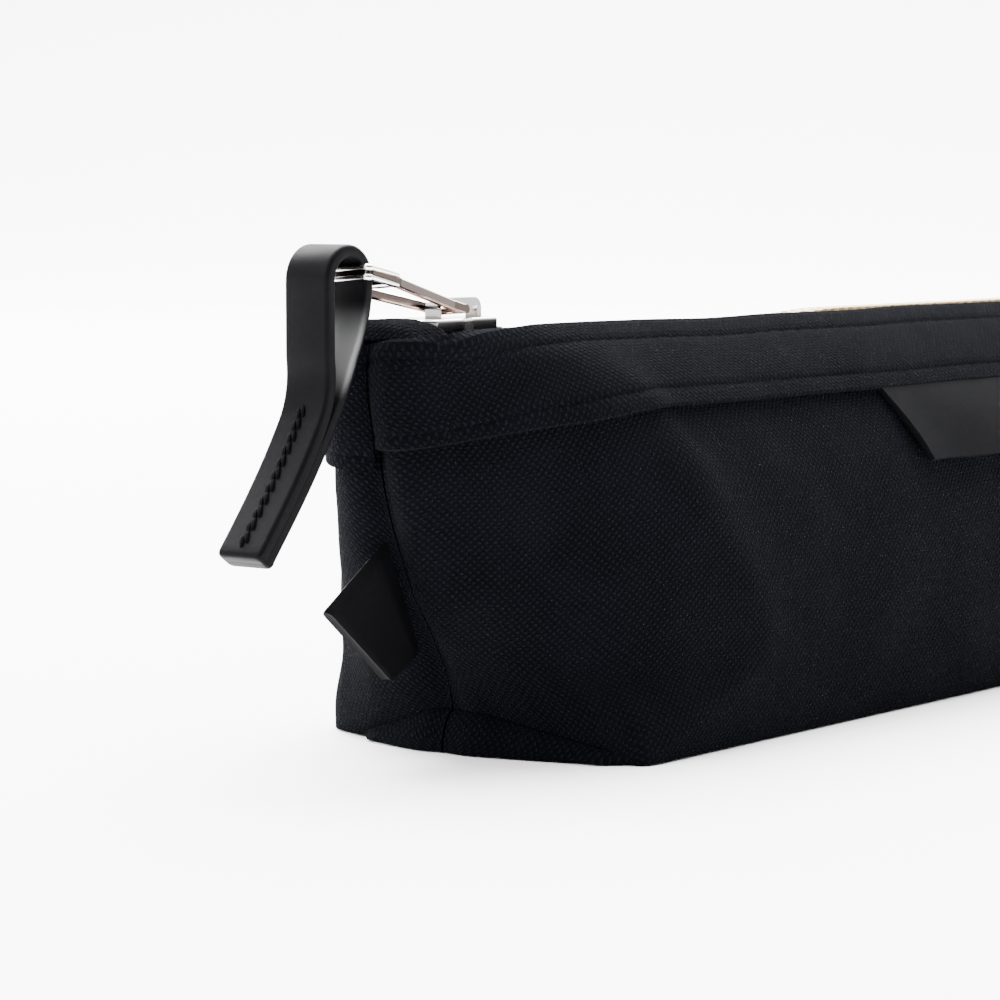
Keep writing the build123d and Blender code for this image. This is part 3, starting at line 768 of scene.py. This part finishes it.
def topstitching(side, name):
    """Two rows of sewing thread round the band."""
    points = []
    faces = []
    steps = 400
    margin = 2.5 * MM
    for from_top, distance in ((True, UPPER_ROW), (False, LOWER_ROW)):
        path = []
        for step in range(steps + 1):
            around = step / steps * SPAN
            length = (HEIGHT - band_foot(around, side)) * SLOPE
            share = distance / length if from_top else 1 - distance / length
            path.append((around, share))
        places = [band_point(around, share, side, BAND_OUT - 0.12 * MM) for around, share in path]
        outs = [band_point(around, share, side, BAND_OUT + 1 * MM) for around, share in path]
        lengths = running_lengths(places)
        position = margin
        while position + 2.6 * MM < lengths[-1] - margin:
            start, normal = place_on_row(places, outs, lengths, position)
            end = place_on_row(places, outs, lengths, position + STITCH_LENGTH)[0]
            capsule(start, end, STITCH_RADIUS, 0.45 * MM, normal, points, faces)
            position += STITCH_PITCH
    return new_piece(name, points, faces)


for side, name in ((-1, "front"), (1, "back")):
    grid = band_grid(side)
    band = thick_sheet(f"{name}_band_canvas", grid, -side * BAND_CLOTH, cloth_map(grid), 0.3)
    dress(band, canvas, "pouch", "canvas", f"{name}_band")
    dress(topstitching(side, f"{name}_band_topstitching"), sewing_thread, "pouch", "thread")


# ---------------------------------------------------------------- zip
def zip_dip(x):
    """The closed zip sags a little between its ends."""
    return ZIP_SAG * smooth(-112 * MM, -98 * MM, x) * smooth(0.0, -40 * MM, x)


def tape_grid(side):
    """Tape from under the band's rolled edge to the teeth, a little arched."""
    grid = []
    steps = 8
    for row in range(steps + 1):
        share = row / steps
        line = []
        for around in STATIONS:
            edge = wall(around, tape_top - 0.2 * MM, side, -1.7 * MM)
            limit = abs(edge.x)
            y = mix(edge.y, side * min(TAPE_INNER_EDGE, abs(edge.y)), share)
            sewn = min(tape_top, mouth_height(around, side) - 1.3 * MM)
            flat = tape_top - zip_dip(edge.x)
            arch = 0.25 * MM * math.sin(math.pi * share) * smooth(136 * MM, 120 * MM, limit)
            line.append(Vector((edge.x, y, mix(sewn, flat, smooth(0.0, 0.55, share)) + arch)))
        grid.append(line)
    return grid


def settled_teeth(node):
    """The same teeth, following the tape where it sags."""
    mesh = bpy.data.objects[node].data.copy()
    piece = bpy.data.objects.new(f"{node}_settled", mesh)
    piece.matrix_world = Matrix.Identity(4)
    bpy.context.scene.collection.objects.link(piece)
    place = bpy.data.objects[node].matrix_world
    for vertex in mesh.vertices:
        point = place @ vertex.co
        point.z -= zip_dip(point.x)
        vertex.co = point
    work = bmesh.new()
    work.from_mesh(mesh)
    bmesh.ops.remove_doubles(work, verts=work.verts, dist=0.000005)
    work.to_mesh(mesh)
    work.free()
    return finish_mesh(piece, 30)


for side, name in ((-1, "front"), (1, "back")):
    grid = tape_grid(side)
    tape = thick_sheet(f"{name}_zip_tape_cloth", grid, -side * TAPE_CLOTH, cloth_map(grid), 0.2)
    dress(tape, tape_cloth, "pouch", "zip_tape", f"zip_tape_{name}")

for node in ("zip_teeth_front", "zip_teeth_back"):
    dress(settled_teeth(node), brass, "pouch", "teeth_brass", node)
for node in ("zip_top_stops", "zip_bottom_stop"):
    refinish(node, brass)


def end_tab(end_side):
    """Folded scrap of canvas over the zip's end, puffed up where it is turned under."""
    grid = []
    steps = 14
    for row in range(steps + 1):
        v = row / steps * 2 - 1
        line = []
        for column in range(steps + 1):
            u = column / steps * 2 - 1
            swell = (1 - abs(u) ** 3) ** 0.6 * (1 - abs(v) ** 3) ** 0.6
            x = end_side * (134.3 * MM - u * 5.1 * MM * end_side)
            y = v * mix(7.2 * MM, 8.4 * MM, (1 - u * end_side) / 2)
            lumps = 0.3 * MM * noise.noise(Vector((u * 2.1, v * 2.3, end_side * 3.0)))
            line.append(Vector((x, y, 70.6 * MM + swell * 2.5 * MM + lumps)))
        grid.append(line)
    return grid


for end_side, node in ((-1.0, "zip_end_tab_left"), (1.0, "zip_end_tab_right")):
    grid = end_tab(end_side)
    tab = thick_sheet(f"{node}_canvas", grid, 0.9 * MM, cloth_map(grid), 0.3)
    dress(tab, canvas, "pouch", "canvas", node)


for node, finish in (("slider_body", nickel), ("slider_bridge", nickel), ("pull_frame", nickel_pull)):
    refinish(node, finish)


def round_rail(name, length, radius):
    """One raised line: a rod with its two ends drawn in to a soft point."""
    bpy.ops.object.select_all(action="DESELECT")
    bpy.ops.mesh.primitive_cylinder_add(vertices=12, radius=radius, depth=length)
    rail = bpy.context.object
    rail.name = name
    for end in (-1, 1):
        bpy.ops.object.mode_set(mode="EDIT")
        bpy.ops.mesh.select_all(action="DESELECT")
        bpy.ops.object.mode_set(mode="OBJECT")
        for polygon in rail.data.polygons:
            polygon.select = polygon.normal.z * end > 0.9
        bpy.ops.object.mode_set(mode="EDIT")
        bpy.ops.mesh.bevel(offset=radius * 0.55, segments=3, affect="EDGES")
        bpy.ops.object.mode_set(mode="OBJECT")
    return rail


def laid_rail(pattern, middle, along, pose):
    """Copy of a rail, put in its place on the pull."""
    copy = bpy.data.objects.new(pattern.name, pattern.data.copy())
    bpy.context.scene.collection.objects.link(copy)
    turn = along.to_track_quat("Z", "Y").to_matrix().to_4x4()
    copy.data.transform(pose @ Matrix.Translation(middle) @ turn)
    return copy


def pull_rails():
    """Raised lines that edge the heavy legs and the outer bar of the cast pull."""
    pose = Matrix.Translation(PIVOT) @ Matrix.Rotation(PULL_TILT, 4, "Y")
    pose = pose @ Matrix.Rotation(PULL_ROLL, 4, "X")
    outer_end = -(PULL_LENGTH + 0.85 * MM)
    half = 6.5 * MM
    leg_rail = round_rail("leg_rail", 7.2 * MM, 0.46 * MM)
    bar_rail = round_rail("bar_rail", 2 * half - 0.6 * MM, 0.42 * MM)
    knuckle_rail = round_rail("knuckle_rail", 1.5 * MM, 0.56 * MM)
    laid = []
    for level in (-0.8 * MM, 0.8 * MM):
        for flank in (-1, 1):
            middle = Vector((outer_end + 4.1 * MM, flank * half, level))
            laid.append(laid_rail(leg_rail, middle, Vector((1, 0, 0)), pose))
            corner = Vector((outer_end + 0.4 * MM, flank * (half - 0.3 * MM), level))
            laid.append(laid_rail(knuckle_rail, corner, Vector((1, flank, 0)), pose))
        middle = Vector((outer_end, 0, level))
        laid.append(laid_rail(bar_rail, middle, Vector((0, 1, 0)), pose))
    for pattern in (leg_rail, bar_rail, knuckle_rail):
        bpy.data.objects.remove(pattern)
    bpy.ops.object.select_all(action="DESELECT")
    for rail in laid:
        rail.select_set(True)
    bpy.context.view_layer.objects.active = laid[0]
    bpy.ops.object.join()
    laid[0].name = "pull_frame_rails"
    return finish_mesh(laid[0])


dress(pull_rails(), nickel_rail, "pull", "nickel")


# ---------------------------------------------------------------- strap
BAR = Vector((-147.801 * MM, 0.0, 81.385 * MM))   # middle of the pull's outer bar
STRAP_WIDTH = strap_high[1] - strap_low[1]
STRAP_LAYER = 2.15 * MM
LOOP_RADIUS = 5.9 * MM                             # outside of the fold over the bar
LOOP_MIDDLE = -2.8 * MM
LOOP_LEVEL = -0.8 * MM
FRONT_DROP = 12 * MM                               # straight part of the front layer
BEND = 18 * MM
TAIL_LENGTH = 24.7 * MM
TAIL_LEAN = math.radians(34)
TAIL_DOWN = Vector((-math.sin(TAIL_LEAN), 0, -math.cos(TAIL_LEAN)))
TAIL_OVER = Vector((math.cos(TAIL_LEAN), 0, -math.sin(TAIL_LEAN)))
TAIL_TOP = BAR.z - 13 * MM
TAIL_FOOT = BAR.z - 44 * MM


def bowed(point):
    """The tail bends a little towards the bag between its bend and its tip."""
    share = min(1.0, max(0.0, (TAIL_TOP - point.z) / (TAIL_TOP - TAIL_FOOT)))
    return point + Vector((1.5 * MM * math.sin(math.pi * share), 0, 0))


def front_bend(angle):
    """Point on the bend of the front layer, measured from the bar."""
    left = LOOP_MIDDLE - LOOP_RADIUS - BEND * (1 - math.cos(angle))
    return Vector((left, 0, LOOP_LEVEL - FRONT_DROP - BEND * math.sin(angle)))


def strap_path():
    """Middle line of the strap's leather: up the front layer, over the bar, down the back layer."""
    outer = []
    start = front_bend(TAIL_LEAN)
    tip = (0, 0.1, 0.25, 0.5, 0.9)
    tail = [TAIL_LENGTH - drop * MM for drop in tip]
    tail += [tail[-1] * (1 - step / 24) for step in range(1, 25)]
    for reach in tail:
        outer.append(start + TAIL_DOWN * reach)
    for step in range(1, 13):
        outer.append(front_bend(TAIL_LEAN * (1 - step / 12)))
    for step in range(1, 13):
        outer.append(Vector((LOOP_MIDDLE - LOOP_RADIUS, 0, LOOP_LEVEL - FRONT_DROP * (1 - step / 12))))
    for step in range(1, 25):
        angle = math.pi * (1 - step / 24)
        reach = Vector((math.cos(angle), 0, math.sin(angle))) * LOOP_RADIUS
        outer.append(Vector((LOOP_MIDDLE, 0, LOOP_LEVEL)) + reach)
    foot = start + TAIL_OVER * (2 * STRAP_LAYER - 0.01 * MM)
    handle = 9.3 * MM
    a = Vector((LOOP_MIDDLE + LOOP_RADIUS, 0, LOOP_LEVEL))
    b = a - Vector((0, 0, handle))
    c = foot - TAIL_DOWN * handle
    for step in range(1, 31):
        outer.append(Vector([curve(a[k], b[k], c[k], foot[k], step / 30) for k in range(3)]))
    for reach in reversed(tail[:-1]):
        outer.append(foot + TAIL_DOWN * reach)
    path = []
    for index, point in enumerate(outer):
        ahead = outer[min(len(outer) - 1, index + 1)] - outer[max(0, index - 1)]
        inward = Vector((ahead.z, 0, -ahead.x)).normalized()
        path.append((point + inward * (STRAP_LAYER / 2), inward))
    return path


def strap_section(half_width, outer_round, inner_round):
    """Flat section with softer corners on the outside of the fold than on the inside."""
    half = STRAP_LAYER / 2
    section = []
    corners = (
        (1, 1, 0, outer_round), (-1, 1, 90, outer_round),
        (-1, -1, 180, inner_round), (1, -1, 270, inner_round),
    )
    for sx, sy, start, r in corners:
        for step in range(5):
            angle = math.radians(start + step * 22.5)
            across = sx * (half_width - r) + r * math.cos(angle)
            section.append((across, sy * (half - r) + r * math.sin(angle)))
    return section


def strap_leather():
    """The folded strip of leather, its two ends sewn and dyed together."""
    path = strap_path()
    points = []
    faces = []
    uvs = []
    reflection_mask = []
    lengths = running_lengths([place for place, _ in path])
    for (place, inward), length in zip(path, lengths):
        from_end = min(length, lengths[-1] - length)
        behind = lengths[-1] - length
        # Painted reflection: the back layer's inner face is marked pale over this stretch, in place of the
        # bright background it reflects as it turns up to the light.
        back_layer = smooth(30 * MM, 37 * MM, behind) * smooth(48 * MM, 40 * MM, behind)
        opening = smooth(20 * MM, 27 * MM, from_end)
        tip = 0.7 * MM * (1 - math.sqrt(max(0.0, 1 - (1 - min(1.0, from_end / (0.9 * MM))) ** 2)))
        half_width = STRAP_WIDTH / 2 - 0.05 * MM - tip
        section = strap_section(half_width, 0.74 * MM, mix(0.06, 0.4, opening) * MM)
        for across, thick in section:
            squeeze = tip * 0.8 if thick > 0 else 0.0
            points.append(bowed(BAR + place + Vector((0, across, 0)) - inward * (thick - squeeze)))
            uvs.append((length, across))
            reflection_mask.append(back_layer if thick < 0 else 0.0)
    size = len(section)
    for index in range(len(path) - 1):
        for corner in range(size):
            a = index * size + corner
            b = index * size + (corner + 1) % size
            faces.append((a, b, b + size, a + size))
    faces.append(tuple(range(size)))
    faces.append(tuple(reversed(range((len(path) - 1) * size, len(path) * size))))
    piece = new_piece("pull_strap_leather", points, faces, uvs)
    rubbed = piece.data.attributes.new("rubbed", "FLOAT", "POINT")
    for index, value in enumerate(reflection_mask):
        rubbed.data[index].value = value
    return piece


dress(strap_leather(), strap_hide, "strap", "strap_leather", "pull_strap")


def twisted_stitches():
    """Heavy two-strand stitches down the tail, on both faces."""
    start = front_bend(TAIL_LEAN)
    half_stitch = TAIL_DOWN * 1.3 * MM - Vector((0, 0.5 * MM, 0))
    points = []
    faces = []
    for index in range(11):
        along = TAIL_LENGTH - 2.9 * MM - index * 2.33 * MM
        for face, base in ((-1, 0.0), (1, 2 * STRAP_LAYER)):
            normal = TAIL_OVER * face
            centre = bowed(BAR + start + TAIL_DOWN * along + TAIL_OVER * base + normal * 0.1 * MM)
            for strand in (-1, 1):
                shift = Vector((0, strand * 0.3 * MM, 0)) + TAIL_DOWN * (strand * 0.45 * MM)
                begin = centre - half_stitch + shift
                finish = centre + half_stitch + shift
                capsule(begin, finish, 0.42 * MM, 0.35 * MM, normal, points, faces, 8, 7)
    return new_piece("strap_saddle_stitching", points, faces)


dress(twisted_stitches(), waxed_thread, "strap", "thread", "strap_stitching")


# ---------------------------------------------------------------- side tab
def tab_leather():
    """Two leaves of leather, folded along the upper edge and sewn into the seam."""
    corners = [
        Vector((-136.9 * MM, 0, 37.3 * MM)),
        Vector((-152.2 * MM, 0, 27.2 * MM)),
        Vector((-136.4 * MM, 0, 14.2 * MM)),
        Vector((-128.4 * MM, 0, 18.2 * MM)),
    ]
    points = []
    faces = []
    rows = 22
    columns = 22
    half = 1.42 * MM
    for face in (-1, 1):
        for r in range(rows + 1):
            for c in range(columns + 1):
                u = r / rows
                v = c / columns
                top = corners[0].lerp(corners[1], u)
                low = corners[3].lerp(corners[2], u)
                place = top.lerp(low, v)
                fold = math.sqrt(max(0.0, 1 - (1 - min(1.0, v / 0.09)) ** 2))
                edge = min(1.0, (1 - v) / 0.03, (1 - u) / 0.03)
                edge = 0.72 + 0.28 * math.sqrt(max(0.0, 1 - (1 - edge) ** 2))
                pinch = 0.55 + 0.45 * smooth(0.0, 0.25, u)
                y = face * half * fold * edge * pinch
                points.append(place + Vector((0, y, 0)))
    count = (rows + 1) * (columns + 1)
    for r in range(rows):
        for c in range(columns):
            a = r * (columns + 1) + c
            quad = (a, a + 1, a + columns + 2, a + columns + 1)
            faces.append(quad)
            faces.append(tuple(index + count for index in reversed(quad)))
    rim = [(0, c) for c in range(columns + 1)]
    rim += [(r, columns) for r in range(1, rows + 1)]
    rim += [(rows, c) for c in range(columns - 1, -1, -1)]
    for (r, c), (nr, nc) in zip(rim, rim[1:]):
        a = r * (columns + 1) + c
        b = nr * (columns + 1) + nc
        groove = []
        for index in (a, b):
            middle = (points[index] + points[index + count]) / 2
            centre = (corners[0] + corners[2]) / 2
            points.append(middle + (centre - middle).normalized() * 0.25 * MM)
            groove.append(len(points) - 1)
        faces.append((a, b, groove[1], groove[0]))
        faces.append((groove[0], groove[1], b + count, a + count))
    piece = new_piece("side_tab_leather", points, faces)
    work = bmesh.new()
    work.from_mesh(piece.data)
    bmesh.ops.remove_doubles(work, verts=work.verts, dist=0.00002)
    bmesh.ops.recalc_face_normals(work, faces=work.faces)
    work.to_mesh(piece.data)
    work.free()
    return finish_mesh(piece, 50)


dress(tab_leather(), tab_hide, "tab", "strap_leather", "side_tab")


# ---------------------------------------------------------------- label
def around_at(x, height, side):
    """Station whose wall point has this x, on the front stretch."""
    low, high = 1.5, 3.5
    for _ in range(30):
        middle = (low + high) / 2
        if wall_point(middle, height, side).x < x:
            low = middle
        else:
            high = middle
    return (low + high) / 2


def label_leather():
    """Slab of leather with slanting ends, its top tucked under the band."""
    top = HEIGHT - BAND_DROP_MIDDLE - 0.1 * MM
    low = label_low[2] + 0.2 * MM
    grid = []
    uvs = []
    for row in range(15):
        share = row / 14
        height = mix(top, low, share)
        slant = max(0.0, (HEIGHT - BAND_DROP_MIDDLE - height) / (13 * MM)) * 6.8 * MM
        line = []
        marks = []
        for column in range(41):
            x = mix(label_low[0] + 0.9 * MM + slant, label_high[0] - 0.9 * MM - slant, column / 40)
            lift = mix(0.0, 1.2, smooth(0.0, 1.0, share)) * MM
            line.append(wall(around_at(x, height, -1), height, -1, 1.3 * MM + lift))
            marks.append((x, height))
        grid.append(line)
        uvs.append(marks)
    return thick_sheet("label_patch_leather", grid, 1.25 * MM, uvs, 0.12)


dress(label_leather(), label_hide, "pouch", "label_leather", "label_patch")


# ---------------------------------------------------------------- floor, light and camera
def studio():
    """Pale seamless paper that curves up behind."""
    points = []
    faces = []
    profile = [(-4.0, 0.0), (2.2, 0.0)]
    for step in range(1, 17):
        angle = math.radians(step * 90 / 16)
        profile.append((2.2 + 1.4 * math.sin(angle), 1.4 - 1.4 * math.cos(angle)))
    profile.append((3.6, 5.0))
    view = math.radians(37.5)
    ahead = Vector((math.cos(view), math.sin(view), 0))
    aside = Vector((math.sin(view), -math.cos(view), 0))
    for forward, height in profile:
        for reach in (-5.0, 5.0):
            points.append(ahead * forward + aside * reach + Vector((0, 0, height)))
    for index in range(len(profile) - 1):
        a = index * 2
        faces.append((a, a + 1, a + 3, a + 2))
    mesh = bpy.data.meshes.new("paper")
    mesh.from_pydata([tuple(point) for point in points], [], faces)
    paper = bpy.data.objects.new("paper", mesh)
    bpy.context.scene.collection.objects.link(paper)
    finish_mesh(paper, 60)
    sheet = Finish("white paper", (0.965, 0.965, 0.965), 0.9, Specular_IOR_Level=0.1)
    paper.data.materials.append(sheet.material)


studio()


def dark_card(name, middle, reach_along, reach_up, facing):
    """Black card that keeps stray light off the side nearest the camera."""
    along = Vector((-facing.y, facing.x, 0)).normalized() * reach_along
    up = Vector((0, 0, reach_up))
    corners = [middle - along - up, middle + along - up, middle + along + up, middle - along + up]
    mesh = bpy.data.meshes.new(name)
    mesh.from_pydata([tuple(corner) for corner in corners], [], [(0, 1, 2, 3)])
    card = bpy.data.objects.new(name, mesh)
    bpy.context.scene.collection.objects.link(card)
    card.data.materials.append(Finish(name, (0.02, 0.02, 0.02), 0.9, Specular_IOR_Level=0.0).material)


dark_card("card behind camera", Vector((-1.35, -0.95, 0.75)), 2.0, 1.15, Vector((0.79, 0.61, 0)))


def soft_box(name, place, aim, width, height, power):
    lamp = bpy.data.lights.new(name, "AREA")
    lamp.shape = "RECTANGLE"
    lamp.size = width
    lamp.size_y = height
    lamp.energy = power
    lit = bpy.data.objects.new(name, lamp)
    bpy.context.scene.collection.objects.link(lit)
    lit.location = place
    lit.rotation_euler = (Vector(aim) - Vector(place)).to_track_quat("-Z", "Y").to_euler()


soft_box("sky panel", (0.85, 0.95, 2.2), (0.2, 0.2, 0.0), 3.2, 2.8, 800)
soft_box("left panel", (-1.6, 0.4, 1.1), (-0.1, 0.0, 0.05), 1.4, 1.2, 60)

world = bpy.data.worlds.new("studio")
bpy.context.scene.world = world
world.use_nodes = True
world.node_tree.nodes["Background"].inputs[0].default_value = (1.0, 1.0, 1.0, 1)
world.node_tree.nodes["Background"].inputs[1].default_value = 2.7

camera_data = bpy.data.cameras.new("camera")
camera_data.lens = 126.0
camera_data.sensor_width = 36.0
camera_data.clip_start = 0.01
camera = bpy.data.objects.new("camera", camera_data)
bpy.context.scene.collection.objects.link(camera)
forward = Vector((0.7902, 0.6063, -0.0896)).normalized()
right = Vector((0.6088, -0.7934, 0.0)).normalized()
upward = right.cross(forward).normalized()
turn = Matrix((right, upward, -forward)).transposed()
camera.matrix_world = Matrix.Translation(Vector((-0.5808, -0.3647, 0.0959))) @ turn.to_4x4()
bpy.context.scene.camera = camera
